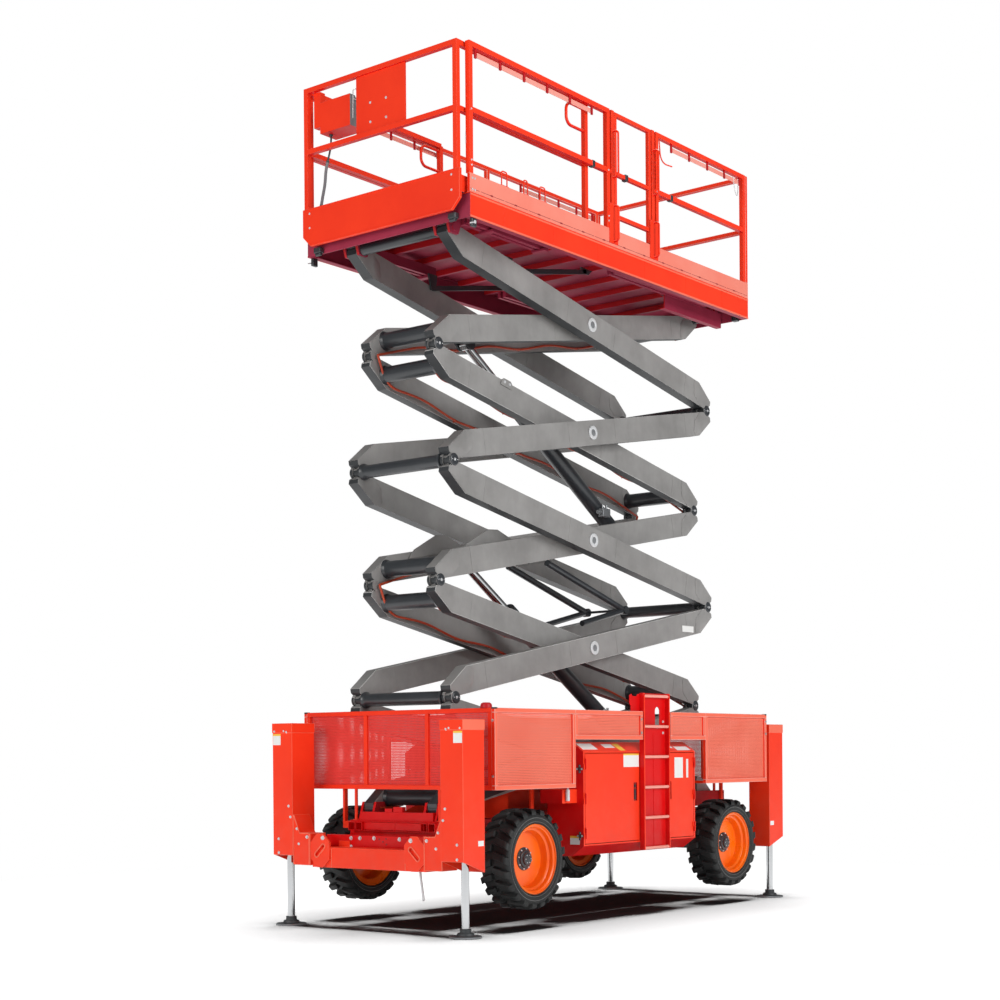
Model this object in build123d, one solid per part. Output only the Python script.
from build123d import *
import os
from math import atan, atan2, cos, degrees, hypot, radians, sin, tan

os.makedirs("parts", exist_ok=True)

# Rough-terrain scissor lift, in millimetres. +X is forward, +Y is the machine's left
# (the ladder side), +Z is up, and the origin is on the ground under its middle.

# ---------------------------------------------------------------- driving dimensions
length = 4930.0
width = 2100.0
body_inset = 10.0
body_width = width - 2 * body_inset

# Scissor: five stages, each an outer pair and an inner pair of arms that cross at a mid pin.
# Arms of one chain are hinged on the line between them, so the stack folds flat.
stages = 5
arm_inset = 487.5
arm_half = length / 2 - arm_inset
arm_depth = 222.0
stack_gap = 14.0
arm_slope = 10.6
slope_low = 0.3
slope_high = 36.6
arm_side_inset = 488.0
outer_face = body_width / 2 - arm_side_inset
outer_thick = 107.0
chain_gap = 45.0
inner_face = outer_face - outer_thick - chain_gap
inner_thick = 100.0
end_pin_inset = 58.0
front_pin_inset = 503.0
front_pin_x = length / 2 - front_pin_inset
chassis_pin_z = 985.0
arm_nose = 50.0
arm_nose_drop = 65.0
arm_nose_cut = 12.0
arm_nose_flat = 36.0
arm_heel = 180.0

boss_radius = 42.0
lug_radius = 55.0
lug_thick = 26.0
bracket_thick = 24.0
bracket_reach = 130.0
bracket_nose = 50.0
hinge_pin_radius = 25.0
mid_pin_radius = 35.0
mid_washer_radius = 62.0
mid_washer_thick = 12.0
end_pin_radius = 30.0
cross_tube_radius = 68.0
cross_tube_inset = 150.0
pin_play = 0.3
seat_gap = 0.3
side_play = 1.5
swing_play = 7.0

roller_radius = 58.0
roller_width = 38.0
roller_gap = 6.0
track_play = 1.0
track_wall = 12.0

# Lift cylinders: barrel foot on an odd inner pair's rear part, rod eye on the next odd pair's front part.
foot_reach = 1130.0
foot_rise = 30.0
eye_reach = 1130.0
eye_drop = 80.0
cylinder_seat = 110.0
cylinder_seat_back = 50.0
seat_tube_radius = 50.0
clevis_thick = 20.0
clevis_gap = 45.0
clevis_radius = 60.0
barrel_radius = 72.0
barrel_length = 1960.0
barrel_start = 88.0
rod_radius = 38.0
rod_tail = 1980.0
stroke_per_degree = 50.0
bore_clear = 8.0
gland_rise = 8.0
gland_length = 90.0
eye_radius = 48.0
eye_half_width = 35.0
cylinder_pin_radius = 24.0

# Wheels
wheel_inset = 920.0
wheel_base = length - 2 * wheel_inset
wheel_z = 574.0
tyre_radius = 411.0
tyre_width = 300.0
tyre_shoulder = 34.0
lug_count = 17
lug_rise = 28.0
lug_length = 78.0
lug_skew = 13.0
lug_side = 20.0
lug_drop = 92.0
tyre_inset = 6.0
tyre_outer_y = width / 2 - tyre_inset
bead_inset = 12.0
rim_radius = 285.0
rim_wall = 14.0
rim_well = 40.0
rim_dish = 30.0
rim_lip = 34.0
rim_recess = 111.0
rim_plate = 18.0
hub_radius = 66.0
hub_length = 46.0
kingpin_inset = 379.0
kingpin_y = tyre_outer_y - kingpin_inset
kingpin_radius = 34.0
knuckle_radius = 48.0
knuckle_half_height = 40.0
spindle_flange = 120.0
flange_thick = 30.0
yoke_half = 50.0
yoke_plate = 24.0
yoke_gap = 4.0
yoke_reach = 90.0
yoke_lip = 20.0
yoke_root = 25.0
axle_half_height = 62.0
axle_half_width = 70.0
spindle_radius = 44.0

# Frame
rail_side_inset = 37.0
rail_outer_y = outer_face - rail_side_inset
rail_thick = 75.0
rail_z0 = 640.0
rail_z1 = 872.0
frame_front_inset = 384.0
frame_rear_inset = 323.0
frame_front = length / 2 - frame_front_inset
frame_rear = frame_rear_inset - length / 2
middle_member_x = 900.0
pin_bracket_rear = 130.0
pin_bracket_front = 100.0
pin_bracket_nose = 50.0
saddle_half = 122.0
saddle_cheek = 24.0
saddle_drop = 30.0
deck_thick = 12.0
cross_member = 90.0

# Corner jacks
leg_width = 228.0
leg_depth = 261.0
leg_top = 1693.0
leg_front_bottom = 596.0
leg_back_bottom = 505.0
leg_cap = 76.0
leg_cap_wall = 4.0
leg_wall = 10.0
leg_foot_top = 782.0
leg_foot_inboard = 190.0
leg_foot_setback = 60.0
leg_foot_thick = 12.0
leg_lip = 30.0
gusset_half = 105.0
gusset_corner = 70.0
gusset_thick = 22.0
gusset_setback = 20.0
gusset_slot = 50.0
gusset_slot_radius = 16.0
gusset_slant = 43.0
strut_inset = 115.0
strut_y = rail_outer_y - strut_inset
strut_half = 60.0
strut_rise = 48.0
leg_haunch = 155.0
leg_haunch_foot = 70.0
fork_tube_inset = 115.0
fork_tube_y = rail_outer_y - fork_tube_inset
fork_tube_pitch = 82.0
fork_tube_half = 36.0
fork_tube_wall = 6.0
fork_tube_reach = 65.0
tie_bar_half = 28.0
tie_bar_z = 926.0
beam_z0 = 504.0
beam_z1 = 670.0
jack_inset_x = 120.0
jack_inset_y = 85.0
jack_x = length / 2 - jack_inset_x
jack_y = body_width / 2 - jack_inset_y
jack_rod_radius = 32.0
jack_sleeve_radius = 52.0
jack_sleeve_rise = 110.0
jack_head_gap = 30.0
jack_brace_half = 12.0
jack_brace_height = 220.0
jack_collar_radius = 46.0
jack_collar_height = 58.0
pad_radius = 130.0
pad_thick = 16.0
jack_up = 420.0

# Guards round the frame
guard_top = 1792.0
guard_bottom = 1142.0
guard_step = 1544.0
guard_tube = 36.0
guard_mesh = 4.0
guard_stay_inset = 55.0
guard_stay_y = rail_outer_y - guard_stay_inset
guard_stay_radius = 14.0
stay_inset = 60.0
stay_half = 20.0
stay_bar = 24.0
stay_foot = 60.0
guard_front_x = frame_front
guard_rear_x = frame_rear
guard_front_panel = 1074.0
guard_rear_panel = 1113.0
guard_step_front = guard_front_x - guard_front_panel
guard_step_rear = guard_rear_x + guard_rear_panel
ladder_front = -10.0
ladder_rear = -424.0
ladder_gap = 14.0

# Cabinets and ladder
ladder_depth = 50.0
cab_face = width / 2 - ladder_depth
cab_front_clear = 711.0
cab_rear_clear = 632.0
cab_front = wheel_base / 2 - cab_front_clear
cab_rear = cab_rear_clear - wheel_base / 2
cab_arm_clear = 58.0
cab_inner_y = outer_face + cab_arm_clear
cab_door_z0 = 658.0
cab_door_z1 = 1431.0
cab_top = 1523.0
cab_bottom = 557.0
cab_bevel = 125.0
door_thick = 24.0
door_seam = 6.0
door_ladder_clear = 8.0
handle_half = 26.0
handle_inset = 60.0
handle_z0 = 1010.0
handle_z1 = 1170.0
handle_depth = 12.0
handle_bar = 4.0
cab_wall = 20.0
engine_rear_gap = 110.0
engine_front_gap = 120.0
engine_face_gap = 150.0
engine_wall_gap = 15.0
engine_top_gap = 220.0
shelf_reach = 206.0
shelf_inner = 90.0
shelf_outer = 70.0
shelf_x1 = cab_front + shelf_reach
shelf_y0 = cab_inner_y + shelf_inner
shelf_y1 = cab_face - shelf_outer
shelf_z0 = 1010.0
shelf_z1 = 1125.0
cab_arm_inset = 84.0
cab_arm_x = cab_front - cab_arm_inset
cab_arm_half = 40.0
cab_arm_trim = 50.0
hinge_radius = 9.0
hinge_pin = 4.5
hinge_leaf = 5.0
hinge_leaf_width = 24.0
knuckle_height = 45.0
ladder_top = 1954.0
ladder_bottom = 575.0
ladder_rail = 14.0
rung_pitch = 268.0
rung_radius = 13.0
rungs = 6
ladder_back = 6.0
ladder_hole_z = 1740.0
ladder_hole_half = 60.0
ladder_hole_radius = 36.0

# Platform
deck_front_inset = 315.0
deck_rear_inset = 362.0
deck_side_inset = 155.0
deck_over_pin = 179.5188
deck_front = length / 2 - deck_front_inset
deck_rear = deck_rear_inset - length / 2
deck_half = width / 2 - deck_side_inset
deck_plate = 10.0
toe_height = 150.0
toe_thick = 30.0
beam_drop = 197.0
beam_web = 10.0
beam_flange = 60.0
rail_height = 1188.0
rail_mid_height = 652.0
rail_tube = 42.0

gate_front = 163.0
gate_rear = -425.0
gate_post_gap = 90.0
gate_tube = 34.0
gate_gap = 12.0
gate_end_gap = 2.0
gate_knuckle = 40.0
loop_radius = 9.0
loop_reach = 58.0
loop_bend = 30.0
upper_loop_low = 602.0
upper_loop_high = 1002.0
lower_loop_low = 42.0
lower_loop_high = 352.0
socket_half = 62.0
socket_thick = 8.0

ext_overhang = 90.0
ext_side_gap = 56.0
ext_front = deck_front + ext_overhang
ext_half = deck_half - ext_side_gap
ext_stroke = 1200.0
ext_overlap = 560.0
push_loop_length = 265.0
push_loop_drop = 190.0
push_loop_radius = 13.0
push_loop_bend = 70.0
ext_deck_rise = 34.0
ext_panel_drop = 142.0
ext_panel_rise = 175.0
ext_panel_bevel = 85.0
ext_panel_side_gap = 35.0
ext_panel_half = deck_half - ext_panel_side_gap
ext_side_thick = 20.0
ext_side_height = 100.0
front_plate_y0 = -250.0
front_plate_y1 = 290.0
box_side_gap = 149.0
box_width = 345.0
box_y0 = box_side_gap - ext_half
box_y1 = box_y0 + box_width
box_drop = 396.0
box_back_drop = 136.0
box_lip_drop = 291.0
box_depth = 190.0
box_shelf = 60.0
box_bracket = 70.0
cable_radius = 8.0
gland_back = 55.0
gland_out = 60.0
gland_height = 30.0
end_beam_wall = 12.0
rib_pitch = 360.0
rib_half = 20.0
rib_depth = 50.0
hanger_half = 30.0
hanger_width = 50.0
hanger_thick = 20.0

# ---------------------------------------------------------------- worked-out values
pin_offset = (arm_depth + stack_gap) / 2
lean = degrees(atan(pin_offset / arm_half))
link_half = hypot(arm_half, pin_offset)
stage_rise = 2 * link_half * sin(radians(arm_slope + lean))
mid_x = front_pin_x - link_half * cos(radians(arm_slope + lean))


def at_arm(origin, slope, along, up):
    """World x and z of a point on an arm: along the arm towards the front, then square to it."""
    turn = radians(slope)
    return (
        origin[0] + along * cos(turn) - up * sin(turn),
        origin[1] + along * sin(turn) + up * cos(turn),
    )


end_pin_v = pin_offset - end_pin_inset
low_pin = at_arm((0, 0), -arm_slope, arm_half, -end_pin_v)
first_mid_z = chassis_pin_z - low_pin[1]
pivot_x = mid_x + low_pin[0]
slide_x = mid_x - low_pin[0]
top_pin_z = first_mid_z + (stages - 1) * stage_rise - low_pin[1]
deck_z = top_pin_z + deck_over_pin
beam_bottom = deck_z - beam_drop
rail_top = deck_z + rail_height
rail_mid = deck_z + rail_mid_height
upper_loop = (deck_z + upper_loop_low, deck_z + upper_loop_high)
lower_loop = (deck_z + lower_loop_low, deck_z + lower_loop_high)
ext_panel_z0 = deck_z - ext_panel_drop
ext_panel_z1 = deck_z + ext_panel_rise
box_bottom = rail_top - box_drop
box_back = rail_top - box_back_drop
box_lip = rail_top - box_lip_drop
ext_tail = ext_front - ext_stroke - ext_overlap


# ---------------------------------------------------------------- small helpers
def block(x0, x1, y0, y1, z0, z1):
    """A box from its two corners."""
    size = (x1 - x0, y1 - y0, z1 - z0)
    low = (Align.MIN, Align.MIN, Align.MIN)
    return Pos(x0, y0, z0) * Box(*size, align=low)


def rod_y(x, z, radius, y0, y1):
    """A round bar across the machine."""
    return Pos(x, (y0 + y1) / 2, z) * Rot(90, 0, 0) * Cylinder(radius, abs(y1 - y0))


def rod_x(y, z, radius, x0, x1):
    """A round bar along the machine."""
    return Pos((x0 + x1) / 2, y, z) * Rot(0, 90, 0) * Cylinder(radius, abs(x1 - x0))


def rod_z(x, y, radius, z0, z1):
    """An upright round bar."""
    return Pos(x, y, (z0 + z1) / 2) * Cylinder(radius, abs(z1 - z0))


def side_plate(points, y0, y1):
    """A plate cut to an outline of x and z, between two planes across the machine."""
    face = make_face(Polyline(*[(x, z) for x, z in points], close=True))
    return Pos(0, y0, 0) * extrude(Plane.XZ * face, amount=-(y1 - y0))


def front_plate(points, x0, x1):
    """A plate cut to an outline of y and z, between two planes along the machine."""
    face = make_face(Polyline(*[(y, z) for y, z in points], close=True))
    return Pos(x0, 0, 0) * extrude(Plane.YZ * face, amount=x1 - x0)


def fuse(pieces):
    """All pieces joined, as one shape."""
    first, *rest = pieces
    return first.fuse(*rest) if rest else first


def both_sides(piece):
    """The piece and its mirror image on the machine's other side."""
    return [piece, mirror(piece, about=Plane.XZ)]


def save(name, pieces):
    """Write one node: a single shape, or several solids that don't touch."""
    shapes = pieces if isinstance(pieces, list) else [pieces]
    solids = [solid for shape in shapes for solid in shape.solids()]
    export_step(Compound(children=solids) if len(solids) > 1 else solids[0], f"parts/{name}.step")


# ---------------------------------------------------------------- scissor arms
class Arm:
    """One pair of arms: its stage, its chain and where its mid pin lies."""

    def __init__(self, chain, stage):
        self.chain = chain
        self.stage = stage
        self.outer = chain == "outer"
        self.rises = 1 if (stage % 2 == 1) == self.outer else -1
        self.slope = self.rises * arm_slope
        self.mid = (mid_x, first_mid_z + (stage - 1) * stage_rise)
        self.y1 = outer_face if self.outer else inner_face
        self.y0 = self.y1 - (outer_thick if self.outer else inner_thick)

    def place(self, along, up):
        return at_arm(self.mid, self.slope, along, up)

    def pin(self, top):
        """Where the pin of the upper or lower end lies, along the arm and square to it."""
        end = self.rises if top else -self.rises
        outermost = (top and self.stage == stages) or (not top and self.stage == 1)
        offset = end_pin_v if outermost else pin_offset
        return end * arm_half, offset if top else -offset


def arm_outline(arm):
    """Side outline of an arm: noses cut back past each pin, heels cut away on the far corner."""
    half = arm_depth / 2
    front = [
        (arm_half - arm_nose_cut, half),
        (arm_half + arm_nose, half - arm_nose_drop),
        (arm_half + arm_nose, half - arm_nose_drop - arm_nose_flat),
        (arm_half - arm_heel, -half),
    ]
    points = front + [(-along, -up) for along, up in front]
    return [arm.place(along, up * arm.rises) for along, up in points]


def build_arm(arm):
    """Both arms of a pair with their bosses, lugs, pins and cross tubes."""
    body = side_plate(arm_outline(arm), arm.y0, arm.y1)
    low_end = not arm.stage == 1
    high_end = not arm.stage == stages
    lug_y = [(arm.y0, arm.y0 + lug_thick), (arm.y1 - lug_thick, arm.y1)]
    boss_y = (arm.y0 + lug_thick + side_play, arm.y1 - lug_thick - side_play)
    if high_end:
        x, z = arm.place(*arm.pin(True))
        body += rod_y(x, z, boss_radius, *boss_y)
        for y0, y1 in lug_y:
            body -= rod_y(x, z, lug_radius + swing_play, y0 - side_play, y1 + side_play)
        body -= rod_y(x, z, hinge_pin_radius + pin_play, arm.y0, arm.y1)
    else:
        x, z = arm.place(*arm.pin(True))
        body += rod_y(x, z, lug_radius, arm.y0, arm.y1)
        if arm.outer:
            body -= rod_y(x, z, end_pin_radius + pin_play, arm.y0, arm.y1)
    if low_end:
        x, z = arm.place(*arm.pin(False))
        body -= rod_y(x, z, boss_radius + swing_play, boss_y[0] - 2 * side_play, boss_y[1] + 2 * side_play)
        for y0, y1 in lug_y:
            body += rod_y(x, z, lug_radius, y0, y1)
        body += rod_y(x, z, hinge_pin_radius, arm.y0, arm.y1)
    else:
        x, z = arm.place(*arm.pin(False))
        body += rod_y(x, z, lug_radius, arm.y0, arm.y1)
        if not arm.outer:
            body -= rod_y(x, z, end_pin_radius + pin_play, arm.y0, arm.y1)
    if arm.outer:
        body -= rod_y(*arm.mid, mid_pin_radius + pin_play, arm.y0, arm.y1)
    else:
        collar_end = outer_face - outer_thick - side_play
        body += rod_y(*arm.mid, mid_washer_radius, arm.y1, collar_end)
        body += rod_y(*arm.mid, mid_pin_radius, arm.y0, outer_face + side_play)
        body += rod_y(*arm.mid, mid_washer_radius, outer_face + side_play, outer_face + mid_washer_thick)
    pieces = both_sides(body)
    inner_y = arm.y0
    if arm.outer:
        if low_end:
            x, z = arm.place(*arm.pin(False))
            pieces.append(rod_y(x, z, hinge_pin_radius, -inner_y, inner_y))
        else:
            x, z = arm.place(*arm.pin(False))
            pieces.append(rod_y(x, z, end_pin_radius, -inner_y, inner_y))
            pieces += both_sides(roller(x, z, arm.y1))
    else:
        for end in (-1, 1):
            x, z = arm.place(end * (arm_half - cross_tube_inset), 0)
            pieces.append(rod_y(x, z, cross_tube_radius, -inner_y, inner_y))
        if not high_end:
            x, z = arm.place(*arm.pin(True))
            pieces += both_sides(roller(x, z, arm.y1))
        if arm.stage in (1, 3):
            pieces += foot_seat(arm)
        if arm.stage in (3, 5):
            pieces += eye_seat(arm)
    return fuse(pieces)


def roller(x, z, face):
    """A plain roller outside the arms, on an axle from this arm's own face."""
    start = outer_face + roller_gap
    stub = rod_y(x, z, end_pin_radius, face, start)
    return stub + rod_y(x, z, roller_radius, start, start + roller_width)


# ---------------------------------------------------------------- lift cylinders
def foot_point(arm):
    return arm.place(-foot_reach, foot_rise)


def eye_point(arm):
    return arm.place(eye_reach, -eye_drop)


def cylinder_line(low, high):
    """Foot, eye, length and direction of the cylinder between two odd inner pairs."""
    foot = foot_point(low)
    eye = eye_point(high)
    span = hypot(eye[0] - foot[0], eye[1] - foot[1])
    return foot, eye, span, degrees(atan2(eye[1] - foot[1], eye[0] - foot[0]))


def clevis(pin, seat, radius):
    """Two clevis plates from a cross tube at seat to the pin."""
    dx, dz = seat[0] - pin[0], seat[1] - pin[1]
    reach = hypot(dx, dz)
    nx, nz = -dz / reach * radius, dx / reach * radius
    outline = [
        (pin[0] + nx, pin[1] + nz),
        (pin[0] - nx, pin[1] - nz),
        (seat[0] - nx * 0.7, seat[1] - nz * 0.7),
        (seat[0] + nx * 0.7, seat[1] + nz * 0.7),
    ]
    plate = side_plate(outline, clevis_gap, clevis_gap + clevis_thick)
    plate += rod_y(*pin, radius, clevis_gap, clevis_gap + clevis_thick)
    return both_sides(plate)


def foot_seat(arm):
    """Cross tube, clevis and pin that carry a barrel's foot."""
    pin = foot_point(arm)
    seat = arm.place(-foot_reach - 70, foot_rise - 85)
    tube = rod_y(*seat, seat_tube_radius, -arm.y0, arm.y0)
    return [tube, *clevis(pin, seat, clevis_radius - 8), rod_y(*pin, cylinder_pin_radius, -clevis_gap, clevis_gap)]


def eye_seat(arm):
    """Cross tube and clevis that a rod's eye pushes against. The eye carries its own pin."""
    pin = eye_point(arm)
    turn = radians(cylinder_turn)
    seat = (pin[0] + cylinder_seat * cos(turn), pin[1] + cylinder_seat * sin(turn))
    tube = rod_y(*seat, seat_tube_radius, -arm.y0, arm.y0)
    return [tube, *clevis(pin, seat, clevis_radius - 8)]


arms = {(chain, stage): Arm(chain, stage) for stage in range(1, stages + 1) for chain in ("outer", "inner")}
cylinder_turn = cylinder_line(arms["inner", 1], arms["inner", 3])[3]


def build_cylinder(name, low, high):
    """Barrel and rod of one lift cylinder, drawn along +X and turned into place."""
    foot, eye, span, turn = cylinder_line(low, high)
    placed = Pos(foot[0], 0, foot[1]) * Rot(0, -turn, 0)
    lug = rod_y(0, 0, eye_radius, -eye_half_width, eye_half_width)
    neck = block(0, barrel_start + 4, -eye_half_width, eye_half_width, -eye_radius + 8, eye_radius - 8)
    tube = rod_x(0, 0, barrel_radius, barrel_start, barrel_length)
    gland = rod_x(0, 0, barrel_radius + gland_rise, barrel_length - gland_length, barrel_length)
    closing = stroke_per_degree * (arm_slope - slope_low)
    bore_start = span - rod_tail - closing - bore_clear
    barrel = lug + neck + tube + gland
    barrel -= rod_x(0, 0, rod_radius + pin_play, bore_start, barrel_length + 5)
    barrel -= rod_y(0, 0, cylinder_pin_radius + pin_play, -clevis_gap, clevis_gap)
    save(f"lift_barrel_{name}", placed * barrel)
    rod = rod_x(0, 0, rod_radius, span - rod_tail, span - eye_radius + 12)
    rod += rod_y(span, 0, eye_radius, -eye_half_width, eye_half_width)
    rod += rod_y(span, 0, cylinder_pin_radius, -clevis_gap + 1, clevis_gap - 1)
    save(f"lift_rod_{name}", placed * rod)


for (chain, stage), arm in arms.items():
    save(f"{chain}_arms_{stage}", build_arm(arm))
build_cylinder("lower", arms["inner", 1], arms["inner", 3])
build_cylinder("upper", arms["inner", 3], arms["inner", 5])


# ---------------------------------------------------------------- wheels and axles
corners = {
    "front_left": (1, 1),
    "front_right": (1, -1),
    "rear_left": (-1, 1),
    "rear_right": (-1, -1),
}


def ring_profile(points):
    """A turned piece: an outline of radius and y, spun about the wheel's axle through the origin."""
    face = make_face(Polyline(*points, close=True))
    return revolve(face, axis=Axis.Y)


def facet_wheel(sides, radius, half_width):
    """A round body of flat facets about the Y axis, its middle at the origin."""
    return extrude(Plane.XZ * RegularPolygon(radius, sides), amount=half_width, both=True)


def lug(side):
    """One tread lug at the top of the tyre: from the middle of the tread, over the shoulder and down the wall."""
    half = tyre_width / 2 - lug_length / 2 * sin(radians(lug_skew))
    top = tyre_radius - lug_length ** 2 / (8 * tyre_radius) - 1
    outline = [
        (lug_side, top - lug_rise - lug_side),
        (lug_side, top),
        (half - tyre_shoulder, top),
        (half, top - tyre_shoulder),
        (half, top - lug_drop),
        (half - 2 * lug_side, top - lug_drop),
    ]
    bar = front_plate([(side * y, z) for y, z in outline], -lug_length / 2, lug_length / 2)
    return Rot(0, 0, side * lug_skew) * bar


def build_wheel(name, fore, side):
    """Tyre, and rim with its hub, outer side towards +Y before it is placed."""
    half = tyre_width / 2
    sides = 2 * lug_count
    carcass = facet_wheel(sides, tyre_radius - lug_rise, half - lug_side)
    carcass = chamfer(carcass.faces().filter_by(Axis.Y).edges(), tyre_shoulder)
    carcass -= facet_wheel(sides, (rim_radius + seat_gap) / cos(radians(180 / sides)), half)
    step = 360 / sides
    lugs = [Rot(0, (2 * n + row) * step, 0) * lug(1 - 2 * row) for n in range(lug_count) for row in (0, 1)]
    tyre = fuse([carcass, *lugs])
    outer = half - bead_inset
    disc = outer - rim_recess
    rim = ring_profile([
        (0, disc - rim_plate),
        (rim_radius - rim_wall - rim_well, disc - rim_plate),
        (rim_radius - rim_wall - rim_well, 2 * bead_inset - half),
        (rim_radius - rim_wall, bead_inset - half),
        (rim_radius, bead_inset - half),
        (rim_radius, outer),
        (rim_radius - rim_wall, outer),
        (rim_radius - rim_wall, outer - rim_lip),
        (rim_radius - rim_wall - rim_dish, outer - rim_lip - rim_wall),
        (rim_radius - rim_wall - rim_dish, disc),
        (0, disc),
    ])
    rim += rod_y(0, 0, hub_radius, disc, disc + hub_length)
    centre_y = tyre_outer_y - half
    placed = Pos(fore * wheel_base / 2, side * centre_y, wheel_z)
    turn = Rot(0, 0, 0 if side > 0 else 180)
    save(f"tyre_{name}", placed * turn * tyre)
    save(f"rim_{name}", placed * turn * rim)


hub_face_y = tyre_outer_y - bead_inset - rim_recess - rim_plate
flange_y = (hub_face_y - 2 * flange_thick, hub_face_y - flange_thick)


def build_knuckle(name, side):
    """Steering knuckle: kingpin boss, stub spindle up to the rim."""
    x = wheel_base / 2
    boss_z = (wheel_z - knuckle_half_height, wheel_z + knuckle_half_height)
    boss = rod_z(x, kingpin_y, knuckle_radius, *boss_z)
    boss -= rod_z(x, kingpin_y, kingpin_radius + pin_play, boss_z[0] - 1, boss_z[1] + 1)
    spindle = rod_y(x, wheel_z, spindle_radius, kingpin_y + kingpin_radius + 6, hub_face_y - seat_gap)
    flange = rod_y(x, wheel_z, spindle_flange, *flange_y)
    piece = boss + spindle + flange
    save(f"knuckle_{name}", piece if side > 0 else mirror(piece, about=Plane.XZ))


for name, (fore, side) in corners.items():
    build_wheel(name, fore, side)
for name, side in (("left", 1), ("right", -1)):
    build_knuckle(name, side)

axle_x = wheel_base / 2
yoke_out = kingpin_y + kingpin_radius + yoke_lip
yoke_in = kingpin_y - yoke_reach
yoke_low = knuckle_half_height + yoke_gap
yoke_top = yoke_low + yoke_plate
pin_end = yoke_top - yoke_plate / 3
yoke = []
for z0, z1 in ((yoke_low, yoke_top), (-yoke_top, -yoke_low)):
    yoke.append(block(axle_x - yoke_half, axle_x + yoke_half, yoke_in, yoke_out, wheel_z + z0, wheel_z + z1))
yoke.append(rod_z(axle_x, kingpin_y, kingpin_radius, wheel_z - pin_end, wheel_z + pin_end))
yoke.append(block(
    axle_x - yoke_half, axle_x + yoke_half,
    yoke_in + yoke_gap + 1 - yoke_root, yoke_in + yoke_gap + 1,
    wheel_z - yoke_top, wheel_z + yoke_top,
))
front_yoke = fuse(yoke)
beam_end = yoke_in - yoke_root + 2 * (yoke_gap + 1)
beam = block(
    axle_x - axle_half_width, axle_x + axle_half_width,
    -beam_end, beam_end,
    wheel_z - axle_half_height, wheel_z + axle_half_height,
)
save("axle_front", fuse([beam, *both_sides(front_yoke)]))
rear_tube = block(
    -axle_x - axle_half_width, -axle_x + axle_half_width,
    -kingpin_y, kingpin_y,
    wheel_z - axle_half_height, wheel_z + axle_half_height,
)
rear_stub = rod_y(-axle_x, wheel_z, spindle_radius, kingpin_y - 5, hub_face_y - seat_gap)
rear_flange = rod_y(-axle_x, wheel_z, spindle_flange, *flange_y)
save("axle_rear", fuse([rear_tube, *both_sides(rear_stub + rear_flange)]))

# ---------------------------------------------------------------- chassis frame
deck_top = rail_z1 + deck_thick
end_link = hypot(arm_half, end_pin_v)
end_lean = degrees(atan(end_pin_v / arm_half))


def slider_x(slope):
    """Where the sliding ends stand at a slope of the arms."""
    return pivot_x - 2 * end_link * cos(radians(slope + end_lean))


def track(floor_z, top_z):
    """Channel that a roller runs in, outside the outer arms. floor_z and top_z bound the roller."""
    x0 = slider_x(slope_low) - roller_radius - 20
    x1 = slider_x(slope_high) + roller_radius + 20
    y0 = outer_face + roller_gap
    y1 = y0 + roller_width + roller_gap
    low = block(x0, x1, y0, y1 + track_wall, floor_z - track_play - track_wall, floor_z - track_play)
    high = block(x0, x1, y0, y1 + track_wall, top_z + track_play, top_z + track_play + track_wall)
    web = block(x0, x1, y1, y1 + track_wall, floor_z - track_wall, top_z + track_wall)
    return low + high + web


frame = both_sides(block(frame_rear, frame_front, rail_outer_y - rail_thick, rail_outer_y, rail_z0, rail_z1))
for x in (frame_front - cross_member, middle_member_x, -middle_member_x, frame_rear):
    frame.append(block(x, x + cross_member, -rail_outer_y + 5, rail_outer_y - 5, rail_z0, rail_z1))
frame.append(block(frame_rear, frame_front, -rail_outer_y, rail_outer_y, rail_z1, deck_top))
for y0 in (inner_face + roller_gap, inner_face - inner_thick - roller_gap - bracket_thick):
    outline = [
        (pivot_x - pin_bracket_rear, deck_top - 4),
        (pivot_x + pin_bracket_front, deck_top - 4),
        (pivot_x + pin_bracket_nose, chassis_pin_z + pin_bracket_nose),
        (pivot_x - pin_bracket_nose, chassis_pin_z + pin_bracket_nose),
    ]
    frame += both_sides(side_plate(outline, y0, y0 + bracket_thick))
pin_y = (inner_face - inner_thick - roller_gap - bracket_thick, inner_face + roller_gap + bracket_thick)
frame += both_sides(rod_y(pivot_x, chassis_pin_z, end_pin_radius, *pin_y))
saddle_y = (rail_outer_y - rail_thick, rail_outer_y)
saddle_top = rail_z0 + 2
for x in (axle_x, -axle_x):
    for x0 in (x - saddle_half, x + saddle_half - saddle_cheek):
        frame += both_sides(block(x0, x0 + saddle_cheek, *saddle_y, wheel_z - saddle_drop, saddle_top))
    frame += both_sides(block(
        x - saddle_half, x + saddle_half, *saddle_y, wheel_z + axle_half_height, saddle_top,
    ))
chassis_track = track(chassis_pin_z - roller_radius, chassis_pin_z + roller_radius)
frame += both_sides(chassis_track)
track_y0 = outer_face + roller_gap
track_low = chassis_pin_z - roller_radius - track_play - track_wall
for x in (slider_x(slope_low), slider_x(arm_slope), slider_x(slope_high) + hanger_thick * 2):
    frame += both_sides(block(
        x - hanger_half, x + hanger_half, rail_outer_y - 5, track_y0 + roller_width,
        deck_top - 2 * hanger_half, track_low + 2,
    ))
for offset in (-fork_tube_pitch / 2, fork_tube_pitch / 2):
    y = fork_tube_y + offset
    reach = fork_tube_half - fork_tube_wall
    for x0, x1 in ((frame_front, frame_front + fork_tube_reach), (frame_rear - fork_tube_reach, frame_rear)):
        tube = block(x0, x1, y - fork_tube_half, y + fork_tube_half, rail_z1 - 2 * fork_tube_half, rail_z1)
        tube_z = rail_z1 - fork_tube_half
        tube -= block(x0, x1, y - reach, y + reach, tube_z - reach, tube_z + reach)
        frame += both_sides(tube)
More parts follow.
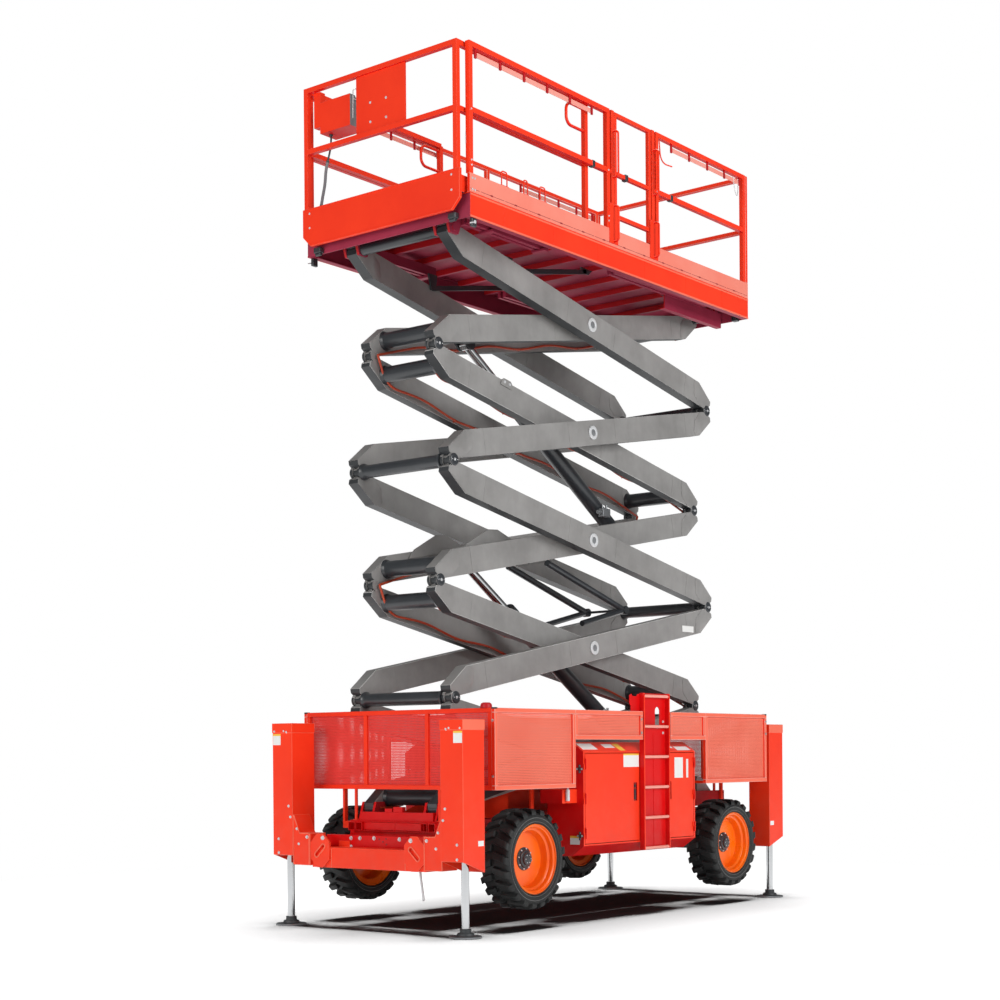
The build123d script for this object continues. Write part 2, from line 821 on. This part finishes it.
frame.append(block(
    frame_front - 2 * tie_bar_half, frame_front, -fork_tube_y, fork_tube_y, deck_top - 2, tie_bar_z + tie_bar_half,
))
for x in (-cab_arm_x, cab_arm_x):
    frame += both_sides(block(
        x - cab_arm_half, x + cab_arm_half, rail_outer_y - 5, cab_inner_y,
        rail_z0 + cab_arm_trim, rail_z1 - cab_arm_trim,
    ))
save("chassis_frame", fuse(frame))
engine = block(
    cab_rear + engine_rear_gap, cab_front - engine_front_gap,
    engine_face_gap - cab_face, -cab_inner_y - cab_wall - engine_wall_gap,
    cab_door_z0, cab_top - engine_top_gap,
)
save("engine", engine)

# ---------------------------------------------------------------- outriggers
leg_out = body_width / 2
leg_in = leg_out - leg_width
leg_x1 = length / 2
leg_x0 = leg_x1 - leg_depth
gusset_x0 = leg_x1 - gusset_setback - gusset_thick


def leg_housing():
    """Hollow corner housing round one jack, its lower edge rising towards the machine's end."""
    outline = [
        (leg_x0, leg_top),
        (leg_x1, leg_top),
        (leg_x1, leg_front_bottom),
        (leg_x1 - leg_lip, leg_front_bottom - leg_wall),
        (leg_x0, leg_back_bottom),
    ]
    shell = side_plate(outline, leg_in, leg_out)
    inside = block(
        leg_x0 + leg_wall, leg_x1 - leg_wall, leg_in + leg_wall, leg_out - leg_wall,
        leg_back_bottom - leg_wall, leg_top - leg_wall,
    )
    shell -= inside
    cap = block(
        leg_x0 - leg_cap_wall, leg_x1 + leg_cap_wall, leg_in - leg_cap_wall, leg_out + leg_cap_wall,
        leg_top - leg_cap, leg_top + leg_cap_wall,
    )
    cap -= block(leg_x0, leg_x1, leg_in, leg_out, leg_top - leg_cap - 1, leg_top)
    sleeve_z = (leg_back_bottom + jack_sleeve_rise, leg_top - leg_wall - jack_head_gap)
    sleeve = rod_z(jack_x, jack_y, jack_sleeve_radius, *sleeve_z)
    sleeve -= rod_z(jack_x, jack_y, jack_rod_radius + seat_gap, sleeve_z[0] - leg_wall, sleeve_z[1] - leg_wall)
    brace = block(
        leg_x0 + leg_wall - 2, leg_x1 - leg_wall + 2,
        jack_y - jack_brace_half, jack_y + jack_brace_half,
        leg_foot_top, leg_foot_top + jack_brace_height,
    )
    brace -= rod_z(jack_x, jack_y, jack_sleeve_radius - 2, leg_foot_top - 1, leg_foot_top + jack_brace_height + 1)
    return fuse([shell, cap, sleeve, brace])


def leg_foot():
    """Solid foot that carries a corner housing, with its sloping haunch."""
    return front_plate([
        (leg_in, leg_foot_top + leg_haunch),
        (leg_in, leg_back_bottom + leg_foot_thick),
        (leg_in - leg_foot_inboard, leg_back_bottom + leg_foot_thick),
        (leg_in - leg_foot_inboard, leg_foot_top),
        (leg_in - leg_haunch_foot, leg_foot_top),
    ], leg_x0 + leg_foot_setback, leg_x1 - leg_foot_thick)


def four_corners(piece):
    """A front-left piece and its three mirror images."""
    return [*both_sides(piece), *both_sides(mirror(piece, about=Plane.YZ))]


save("leg_housings", four_corners(leg_housing()))
save("leg_feet", four_corners(leg_foot()))

strut_top = beam_z1 + strut_rise
slot_up, slot_out = gusset_slot * sin(radians(gusset_slant)), gusset_slot * cos(radians(gusset_slant))
outriggers = []
for sign in (1, -1):
    beam = block(
        leg_x0 + leg_foot_setback + leg_wall, gusset_x0,
        -leg_in + leg_foot_inboard, leg_in - leg_foot_inboard, beam_z0, beam_z1,
    )
    pieces = [beam]
    inner_x = leg_x0 + leg_foot_setback + leg_foot_thick
    outer_x = frame_front if sign > 0 else -frame_rear
    gusset_y = leg_in - leg_foot_inboard - gusset_half
    corner = gusset_corner
    plate = front_plate([
        (gusset_y - gusset_half, beam_z0 + corner), (gusset_y - gusset_half + corner, beam_z0),
        (gusset_y + gusset_half - corner, beam_z0), (gusset_y + gusset_half, beam_z0 + corner),
        (gusset_y + gusset_half, leg_foot_top - corner), (gusset_y + gusset_half - corner, leg_foot_top),
        (gusset_y - gusset_half + corner, leg_foot_top), (gusset_y - gusset_half, leg_foot_top - corner),
    ], gusset_x0, gusset_x0 + gusset_thick)
    middle = (beam_z0 + leg_foot_top) / 2
    for end in (-1, 1):
        plate -= rod_x(
            gusset_y + end * slot_out, middle - end * slot_up, gusset_slot_radius,
            gusset_x0, gusset_x0 + gusset_thick,
        )
    plate -= Pos(gusset_x0, gusset_y, middle) * Rot(-gusset_slant, 0, 0) * block(
        0, gusset_thick, -gusset_slot, gusset_slot, -gusset_slot_radius, gusset_slot_radius,
    )
    pieces += both_sides(plate)
    for y in (-1, 1):
        pieces.append(block(
            outer_x, inner_x,
            y * strut_y - strut_half, y * strut_y + strut_half, beam_z0 + leg_foot_thick, strut_top,
        ))
    part = fuse(pieces)
    outriggers.append(part if sign > 0 else mirror(part, about=Plane.YZ))
save("outriggers", outriggers)

# ---------------------------------------------------------------- jacks
for name, (fore, side) in corners.items():
    x, y = fore * jack_x, side * jack_y
    pad = rod_z(x, y, pad_radius, 0, pad_thick)
    collar = rod_z(x, y, jack_collar_radius, pad_thick, pad_thick + jack_collar_height)
    rod = rod_z(x, y, jack_rod_radius, pad_thick, leg_top - leg_wall - 2 * jack_head_gap - jack_up)
    save(f"jack_{name}", fuse([pad, collar, rod]))

# ---------------------------------------------------------------- guards
guard_y = width / 2


def guard_panel(u0, u1, z0, z1, posts):
    """Tube frame round a thin panel, in the x-z plane, its outer face at y = 0."""
    depth = guard_tube
    frame = block(u0, u1, -depth, 0, z0, z1)
    stops = [u0, *posts, u1]
    for a, b in zip(stops, stops[1:]):
        left = a + (depth if a == u0 else depth / 2)
        right = b - (depth if b == u1 else depth / 2)
        frame -= block(left, right, -depth - 1, -depth / 2 - guard_mesh / 2, z0 + depth, z1 - depth)
        frame -= block(left, right, -depth / 2 + guard_mesh / 2, 1, z0 + depth, z1 - depth)
    return frame


end_half = guard_y - guard_tube
end_panel = guard_panel(-end_half, end_half, guard_bottom, guard_top, (-end_half / 3, end_half / 3))
end_guards = []
for x, turn in ((guard_front_x, -90), (guard_rear_x, 90)):
    panel = Pos(x, 0, 0) * Rot(0, 0, turn) * end_panel
    stay_x = x - guard_tube / 2 if x > 0 else x + guard_tube / 2
    for y in (-guard_stay_y, guard_stay_y):
        panel += rod_z(stay_x, y, guard_stay_radius, deck_top, guard_bottom + 2)
    end_guards.append(panel)
save("guard_ends", end_guards)


def side_guard(gap):
    """Guard along one side, with a break in it for the ladder when gap is set."""
    if gap:
        tails = [(ladder_front + ladder_gap, guard_step_front), (guard_step_rear, ladder_rear - ladder_gap)]
    else:
        tails = [(guard_step_rear, guard_step_front)]
    panels = [
        guard_panel(guard_step_front, guard_front_x, guard_bottom, guard_top, ()),
        guard_panel(guard_rear_x, guard_step_rear, guard_bottom, guard_top, ()),
    ]
    for u0, u1 in tails:
        panels.append(guard_panel(u0, u1, guard_step, guard_top, ()))
    left = panels[0] + panels[2]
    right = panels[1] + panels[-1]
    out = [left, right] if gap else [left + panels[1]]
    stay_y = track_y0 + roller_width + roller_gap + track_wall
    rear_end = slider_x(slope_low) - roller_radius
    for u in (
        guard_front_x - stay_inset, guard_step_front + stay_inset,
        guard_step_rear - stay_inset, rear_end + stay_inset,
    ):
        foot_z = rail_z1 - stay_foot
        stay = block(
            u - stay_half, u + stay_half, stay_y - guard_y, -guard_tube + 2, guard_bottom, guard_bottom + stay_bar,
        )
        stay += block(
            u - stay_half, u + stay_half, stay_y - guard_y, stay_y + stay_bar - guard_y,
            foot_z, guard_bottom + stay_bar,
        )
        if u > 0:
            stay += block(u - stay_half, u + stay_half, rail_outer_y - guard_y, stay_y + 1 - guard_y, foot_z, rail_z1)
        out.append(stay)
    return fuse(out)


left_guard = Pos(0, guard_y, 0) * side_guard(True)
right_guard = mirror(Pos(0, guard_y, 0) * side_guard(False), about=Plane.XZ)
save("guard_left", left_guard)
save("guard_right", right_guard)

# ---------------------------------------------------------------- cabinets, doors, ladder
cab_y = cab_face
cab_outline = [
    (cab_inner_y, cab_bottom),
    (cab_y - cab_bevel, cab_bottom),
    (cab_y, cab_door_z0 - 12),
    (cab_y, cab_door_z1 + 12),
    (cab_y - cab_bevel, cab_top),
    (cab_inner_y, cab_top),
]
cabinet = front_plate(cab_outline, cab_rear, cab_front)
cabinet -= block(
    cab_rear + cab_wall, cab_front - cab_wall, cab_inner_y + cab_wall, cab_y + 1, cab_door_z0, cab_door_z1,
)
post_x = (ladder_front + ladder_rear) / 2
post_half = (ladder_front - ladder_rear) / 2 + door_ladder_clear - door_seam
cabinet += block(
    post_x - post_half, post_x + post_half, cab_y - door_thick - 30, cab_y - 14, cab_door_z0 - 1, cab_door_z1 + 1,
)
cabinet -= block(cab_rear, cab_front, track_y0 - 1, track_y0 + 60, track_low - 6, chassis_pin_z + roller_radius + 20)
doors = {
    "front": (post_x + post_half + door_seam, cab_front - cab_wall - door_seam, 1),
    "rear": (cab_rear + cab_wall + door_seam, post_x - post_half - door_seam, -1),
}
hinge_y = cab_y + hinge_radius + seat_gap
hinge_rows = [cab_door_z0 + share * (cab_door_z1 - cab_door_z0) for share in (0.12, 0.5, 0.88)]


def door_axis_x(x0, x1, hinge_end):
    """Where a door's hinge pins stand: over the middle of the seam."""
    return x1 + door_seam / 2 if hinge_end > 0 else x0 - door_seam / 2


def knuckle(x, out, z0):
    """One hinge knuckle with its leaf, which lies on the face towards out."""
    leaf_x = sorted((x, x + out * hinge_leaf_width))
    leaf = block(*leaf_x, cab_y, cab_y + hinge_leaf, z0, z0 + knuckle_height)
    leaf -= block(x - door_seam / 2 - 1, x + door_seam / 2 + 1, cab_y, cab_y + seat_gap, z0, z0 + knuckle_height)
    return leaf + rod_z(x, hinge_y, hinge_radius, z0, z0 + knuckle_height)


cabinet += block(cab_front - cab_wall, shelf_x1, shelf_y0, shelf_y1, shelf_z0, shelf_z1)
for x0, x1, hinge_end in doors.values():
    x = door_axis_x(x0, x1, hinge_end)
    for z in hinge_rows:
        cabinet += knuckle(x, hinge_end, z - knuckle_height)
        cabinet += rod_z(x, hinge_y, hinge_pin, z - 1, z + knuckle_height)
for side_name, side in (("left", 1), ("right", -1)):
    save(f"cabinet_{side_name}", cabinet if side > 0 else mirror(cabinet, about=Plane.XZ))
    for end_name, (x0, x1, hinge_end) in doors.items():
        door = block(x0, x1, cab_y - door_thick, cab_y, cab_door_z0 + door_seam, cab_door_z1 - door_seam)
        handle_x = x0 + handle_inset if hinge_end > 0 else x1 - handle_inset
        door -= block(
            handle_x - handle_half, handle_x + handle_half, cab_y - handle_depth, cab_y + 1, handle_z0, handle_z1,
        )
        door += rod_z(handle_x, cab_y - handle_depth / 2, handle_bar, handle_z0 - 4, handle_z1 + 4)
        x = door_axis_x(x0, x1, hinge_end)
        for z in hinge_rows:
            door += knuckle(x, -hinge_end, z + seat_gap)
            door -= rod_z(x, hinge_y, hinge_pin + pin_play, z, z + knuckle_height + 1)
        if side < 0:
            door = mirror(door, about=Plane.XZ)
        save(f"door_{side_name}_{end_name}", door)

ladder_y1 = guard_y
ladder_y0 = cab_y
ladder = []
for x in (ladder_front - ladder_rail, ladder_rear):
    ladder.append(block(x, x + ladder_rail, ladder_y0, ladder_y1, ladder_bottom, ladder_top))
for n in range(rungs):
    z = ladder_bottom + 14 + n * rung_pitch
    ladder.append(rod_x(ladder_y1 - rung_radius - 4, z, rung_radius, ladder_rear + 2, ladder_front - 2))
ladder_back_plate = block(ladder_rear, ladder_front, ladder_y0, ladder_y0 + ladder_back, ladder_bottom, ladder_top)
hole_x = ladder_rear + (ladder_front - ladder_rear) / 3
for z in (ladder_hole_z - ladder_hole_half, ladder_hole_z + ladder_hole_half):
    ladder_back_plate -= rod_y(hole_x, z, ladder_hole_radius, ladder_y0 - 1, ladder_y0 + ladder_back + 1)
ladder_back_plate -= block(
    hole_x - ladder_hole_radius, hole_x + ladder_hole_radius, ladder_y0 - 1, ladder_y0 + ladder_back + 1,
    ladder_hole_z - ladder_hole_half, ladder_hole_z + ladder_hole_half,
)
save("ladder", fuse([*ladder, ladder_back_plate]))

# ---------------------------------------------------------------- platform
half_tube = rail_tube / 2
rail_y = deck_half - half_tube
slide_top = top_pin_z + roller_radius


def post(x, y, z0, z1, size=rail_tube):
    """Upright square tube."""
    return block(x - size / 2, x + size / 2, y - size / 2, y + size / 2, z0, z1)


def bar_x(x0, x1, y, z, size=rail_tube):
    """Level square tube along the machine, its middle at z."""
    return block(x0, x1, y - size / 2, y + size / 2, z - size / 2, z + size / 2)


def bar_y(x, y0, y1, z, size=rail_tube):
    """Level square tube across the machine, its middle at z."""
    return block(x - size / 2, x + size / 2, y0, y1, z - size / 2, z + size / 2)


def bent_tube(points, radius, bend):
    """A round tube along straight runs joined by equal bends."""
    path = FilletPolyline(*points, radius=bend)
    return sweep(Plane(origin=path @ 0, z_dir=path % 0) * Circle(radius), path=path)


floor_under = deck_z - deck_plate
side_beam = block(deck_rear, deck_front, deck_half - beam_web, deck_half, beam_bottom, floor_under)
side_beam += block(deck_rear, deck_front, deck_half - beam_flange, deck_half, beam_bottom, beam_bottom + beam_web)
side_beam += block(deck_rear, deck_front, deck_half - beam_flange, deck_half, floor_under - beam_web, floor_under)
deck = both_sides(side_beam)
for x in (deck_rear, deck_front - end_beam_wall):
    deck.append(block(x, x + end_beam_wall, -deck_half, deck_half, beam_bottom, floor_under))
save("deck_beams", fuse(deck))

rib_y = deck_half - beam_flange
rib_bottom = floor_under - rib_depth
rib_count = int((deck_front - deck_rear) / rib_pitch)
ribs = []
for n in range(1, rib_count):
    x = deck_rear + n * (deck_front - deck_rear) / rib_count
    ribs.append(block(x - rib_half, x + rib_half, -rib_y, rib_y, rib_bottom, floor_under))
save("deck_ribs", ribs)

deck_track = track(top_pin_z - roller_radius, slide_top)
for x in (slider_x(slope_low), slider_x(arm_slope), slider_x(slope_high)):
    deck_track += block(
        x - hanger_half, x + hanger_half, track_y0, track_y0 + hanger_width, slide_top + track_play, rib_bottom,
    )
deck_track += block(
    deck_rear + end_beam_wall, slider_x(slope_high) + roller_radius, track_y0, track_y0 + hanger_width,
    rib_bottom - hanger_thick, rib_bottom,
)
save("deck_tracks", both_sides(deck_track))

seat_x0, seat_x1 = pivot_x - bracket_reach, pivot_x + bracket_reach - 20
deck_brackets = [block(seat_x0, seat_x1, -rib_y, rib_y, rib_bottom, floor_under)]
for y0 in (outer_face + roller_gap, outer_face - outer_thick - roller_gap - bracket_thick):
    outline = [
        (seat_x0, rib_bottom + 10),
        (seat_x1, rib_bottom + 10),
        (pivot_x + bracket_nose, top_pin_z - bracket_nose),
        (pivot_x - bracket_nose, top_pin_z - bracket_nose),
    ]
    deck_brackets += both_sides(side_plate(outline, y0, y0 + bracket_thick))
pin_reach = outer_face + roller_gap + bracket_thick + 6
deck_brackets.append(rod_y(pivot_x, top_pin_z, end_pin_radius, -pin_reach, pin_reach))
save("deck_brackets", fuse(deck_brackets))

floor = block(deck_rear, deck_front, -deck_half, deck_half, floor_under, deck_z)
save("platform_floor", floor)

toe_x0, toe_x1 = deck_rear, deck_front
toes = both_sides(block(toe_x0, toe_x1, deck_half - toe_thick, deck_half, deck_z, deck_z + toe_height))
toes.append(block(toe_x0, toe_x0 + toe_thick, -deck_half, deck_half, deck_z, deck_z + toe_height))
save("toe_boards", fuse(toes))

toe_top = deck_z + toe_height
post_low = toe_top
front_post = deck_front - half_tube
rear_post = deck_rear + half_tube
gate_post_front = gate_front + gate_post_gap
gate_post_rear = gate_rear - gate_post_gap


def rail_side(runs):
    """Posts and rails of a side, in runs from x0 to x1."""
    pieces = []
    for x0, x1 in runs:
        pieces.append(bar_x(x0 - half_tube, x1 + half_tube, rail_y, rail_top - half_tube))
        pieces.append(bar_x(x0, x1, rail_y, rail_mid))
        for x in (x0, x1):
            pieces.append(post(x, rail_y, post_low, rail_top - half_tube))
    return pieces


left_rail = rail_side([(rear_post + rail_tube + 2, gate_post_rear), (gate_post_front, front_post)])
gate_end_posts = (gate_front + half_tube + gate_end_gap, gate_rear - half_tube - gate_end_gap)
for x in gate_end_posts:
    left_rail.append(post(x, rail_y, post_low, rail_top))
    link = sorted((x, gate_post_front if x > gate_front else gate_post_rear))
    for z in (rail_mid, toe_top + 120):
        left_rail.append(bar_x(link[0], link[1], rail_y, z, 30))
for x in gate_end_posts:
    for root_y, (z0, z1) in ((rail_y, upper_loop), (deck_half + socket_thick / 2, lower_loop)):
        left_rail.append(bent_tube([
            (x, root_y, z1), (x, deck_half + loop_reach, z1), (x, deck_half + loop_reach, z0), (x, root_y, z0),
        ], loop_radius, loop_bend))
    left_rail.append(block(
        x - socket_half, x + socket_half, deck_half, deck_half + socket_thick,
        lower_loop[0] - 2 * loop_radius, lower_loop[1] + 2 * loop_radius,
    ))
gate_x1 = gate_front + gate_end_gap - gate_gap
gate_x0 = gate_rear - gate_end_gap + gate_gap
gate_face_y = rail_y - gate_tube / 2
gate_axis_x = gate_x1 + gate_gap / 2
gate_axis_y = rail_y - half_tube - hinge_radius + 1
gate_hinges = (toe_top + 90, rail_mid + 90, rail_top - 200)
for z in gate_hinges:
    left_rail.append(rod_z(gate_axis_x, gate_axis_y, hinge_radius, z - gate_knuckle, z))
    left_rail.append(rod_z(gate_axis_x, gate_axis_y, hinge_pin, z - 1, z + gate_knuckle + 4))
    left_rail.append(block(
        gate_axis_x, gate_axis_x + 2 * gate_gap, gate_axis_y, rail_y - half_tube + 1, z - gate_knuckle, z,
    ))
save("rail_left", fuse(left_rail))
right_rail = rail_side([(rear_post + rail_tube + 2, -gate_post_front), (-gate_post_front, front_post)])
save("rail_right", mirror(fuse(right_rail), about=Plane.XZ))
rear = [
    bar_y(rear_post, -deck_half, deck_half, rail_top - half_tube),
    bar_y(rear_post, -rail_y, rail_y, rail_mid),
]
for y in (-rail_y, rail_y):
    rear.append(post(rear_post, y, post_low, rail_top - half_tube))
save("rail_rear", fuse(rear))

gate_bars = (toe_top + 130, rail_mid, rail_top - half_tube)
gate_frame = [bar_x(gate_x0, gate_x1, rail_y, z, gate_tube) for z in gate_bars]
for x in (gate_x0 + gate_tube / 2, gate_x1 - gate_tube / 2):
    gate_frame.append(post(x, rail_y, toe_top + gate_gap, rail_top - half_tube, gate_tube))
gate = fuse(gate_frame)
for z in gate_hinges:
    z0 = z + seat_gap
    gate += rod_z(gate_axis_x, gate_axis_y, hinge_radius, z0, z0 + gate_knuckle)
    gate += block(gate_axis_x - 2 * gate_gap, gate_axis_x, gate_axis_y, gate_face_y + 1, z0, z0 + gate_knuckle)
    gate -= rod_z(gate_axis_x, gate_axis_y, hinge_pin + pin_play, z0 - 1, z0 + gate_knuckle + 1)
save("gate", gate)

# ---------------------------------------------------------------- extension deck
ext_rail_y = ext_half - half_tube
sill = deck_z + ext_deck_rise
ext_floor = block(ext_tail, ext_front - toe_thick, -ext_half, ext_half, deck_z + seat_gap, sill)
ext_sides = both_sides(block(
    ext_tail, ext_front - toe_thick, ext_half - ext_side_thick, ext_half, sill, sill + ext_side_height,
))
ext_panel = front_plate([
    (-ext_panel_half, ext_panel_z1),
    (ext_panel_half, ext_panel_z1),
    (ext_panel_half, ext_panel_z0 + ext_panel_bevel),
    (ext_panel_half - ext_panel_bevel, ext_panel_z0),
    (-ext_panel_half + ext_panel_bevel, ext_panel_z0),
    (-ext_panel_half, ext_panel_z0 + ext_panel_bevel),
], ext_front - toe_thick, ext_front)
box_x1 = ext_front - rail_tube
gland_x, gland_y = box_x1 - gland_back, box_y0 - gland_out
gland_top = sill + gland_height
gland = rod_z(gland_x, gland_y, 2 * cable_radius, sill, gland_top)
save("extension_deck", fuse([ext_floor, *ext_sides, ext_panel, gland]))

ext_post_x = ext_front - half_tube
ext_end_x = ext_tail + half_tube
ext_rails = []
for x in (ext_end_x, ext_post_x):
    low = sill + ext_side_height if x < ext_front - toe_thick - rail_tube else ext_panel_z1
    ext_rails += both_sides(post(x, ext_rail_y, low, rail_top - half_tube))
side_bars = bar_x(ext_end_x, ext_post_x, ext_rail_y, rail_mid)
side_bars += bar_x(ext_end_x, ext_post_x + half_tube, ext_rail_y, rail_top - half_tube)
ext_rails += both_sides(side_bars)
for z in (rail_top - half_tube, rail_mid):
    ext_rails.append(bar_y(ext_post_x, -ext_half, ext_half, z))
loop_z = rail_top - rail_tube - push_loop_radius - 12
ext_rails += both_sides(bent_tube([
    (ext_end_x, ext_rail_y, loop_z),
    (ext_end_x + push_loop_length, ext_rail_y, loop_z),
    (ext_end_x + push_loop_length, ext_rail_y, loop_z - push_loop_drop),
    (ext_end_x, ext_rail_y, loop_z - push_loop_drop),
], push_loop_radius, push_loop_bend))
save("extension_rails", fuse(ext_rails))
plate = block(
    ext_post_x - 6, ext_post_x + 6, front_plate_y0, front_plate_y1,
    rail_mid + half_tube, rail_top - rail_tube,
)
save("front_plate", plate)

# ---------------------------------------------------------------- control box
box_profile = [
    (box_x1, box_bottom), (box_x1, box_back), (box_x1 - box_shelf, box_back),
    (box_x1 - box_depth, box_lip), (box_x1 - box_depth, box_bottom),
]
control_box = side_plate(box_profile, box_y0, box_y1)
control_box += block(
    box_x1 - box_shelf, box_x1, box_y0 - box_bracket, box_y0 + 2, box_bottom + box_shelf, rail_top - rail_tube,
)
save("control_box", control_box)


def cord(points, radius):
    """A cord as straight runs joined by arcs as wide as the runs allow. Prints its length and bend radii."""
    path_points = [Vector(*point) for point in points]
    radii = []
    for before, here, after in zip(path_points, path_points[1:], path_points[2:]):
        into, out = here - before, after - here
        turn = radians(into.get_angle(out))
        radii.append(0.45 * min(into.length, out.length) / tan(turn / 2))
    path = FilletPolyline(*path_points, radius=radii)
    print("cord length", round(path.length), "radii", [round(value) for value in radii])
    return sweep(Plane(origin=path @ 0, z_dir=path % 0) * Circle(radius), path=path)


# The cable leaves the box downwards and ends in the gland on the extension's floor.
cable_points = [
    (box_x1 - 70, box_y0 + 60, box_bottom),
    (box_x1 - 70, box_y0 + 60, box_bottom - 90),
    (box_x1 - 64, box_y0 + 34, box_bottom - 190),
    (box_x1 - 60, box_y0 + 4, box_bottom - 290),
    (box_x1 - 62, box_y0 - 6, box_bottom - 400),
    (box_x1 - 58, box_y0 - 34, box_bottom - 510),
    (gland_x, gland_y, gland_top + 90),
    (gland_x, gland_y, gland_top),
]
save("control_cable", cord(cable_points, cable_radius))
